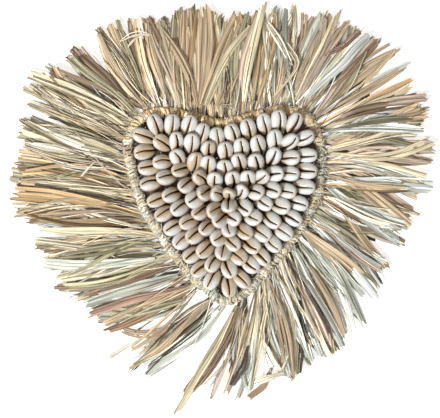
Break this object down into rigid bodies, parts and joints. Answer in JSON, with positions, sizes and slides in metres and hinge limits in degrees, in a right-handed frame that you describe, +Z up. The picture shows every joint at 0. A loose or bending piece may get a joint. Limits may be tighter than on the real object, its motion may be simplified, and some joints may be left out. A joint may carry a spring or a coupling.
{
  "type": "raffia and cowrie shell heart ornament",
  "caption": "Flat heart of overlapping cowrie shells on a backing, with a knotted raffia border and a long radiating raffia fringe, for hanging or laying on a table.",
  "frame": {"origin": "middle of the underside, on the surface that the heart lies on", "axes": "+Z up out of the shells, +Y towards the two lobes at the heart's top, +X to the viewer's right"},
  "size_m": [0.3356, 0.3182, 0.021],
  "materials": {
    "backing": "coarse dark brown plaited natural fibre, matt",
    "rim": "wrapped and knotted raffia, matt with a slight sheen",
    "shell": "natural polished shell, white to cream, glossy",
    "raffia": "dry raffia blades, straw, olive and grey-green, satin"
  },
  "bodies": {
    "root": {"backing_panel": "backing", "rim_cord": "rim", "shell_row_1": "shell", "shell_row_2": "shell", "shell_row_3": "shell", "shell_row_4": "shell", "shell_centre": "shell", "raffia_tuft_01": "raffia", "raffia_tuft_02": "raffia", "raffia_tuft_03": "raffia", "raffia_tuft_04": "raffia", "raffia_tuft_05": "raffia", "raffia_tuft_06": "raffia", "raffia_tuft_07": "raffia", "raffia_tuft_08": "raffia", "raffia_tuft_09": "raffia", "raffia_tuft_10": "raffia", "raffia_tuft_11": "raffia", "raffia_tuft_12": "raffia", "raffia_tuft_13": "raffia", "raffia_tuft_14": "raffia", "raffia_tuft_15": "raffia", "raffia_tuft_16": "raffia", "raffia_tuft_17": "raffia", "raffia_tuft_18": "raffia", "raffia_tuft_19": "raffia", "raffia_tuft_20": "raffia", "raffia_tuft_21": "raffia", "raffia_tuft_22": "raffia", "raffia_tuft_23": "raffia", "raffia_tuft_24": "raffia", "raffia_tuft_25": "raffia", "raffia_tuft_26": "raffia", "raffia_tuft_27": "raffia", "raffia_tuft_28": "raffia", "raffia_tuft_29": "raffia", "raffia_tuft_30": "raffia", "raffia_tuft_31": "raffia", "raffia_tuft_32": "raffia", "raffia_tuft_33": "raffia", "raffia_tuft_34": "raffia", "raffia_tuft_35": "raffia", "raffia_tuft_36": "raffia", "raffia_tuft_37": "raffia", "raffia_tuft_38": "raffia", "raffia_tuft_39": "raffia"}
  },
  "joints": []
}
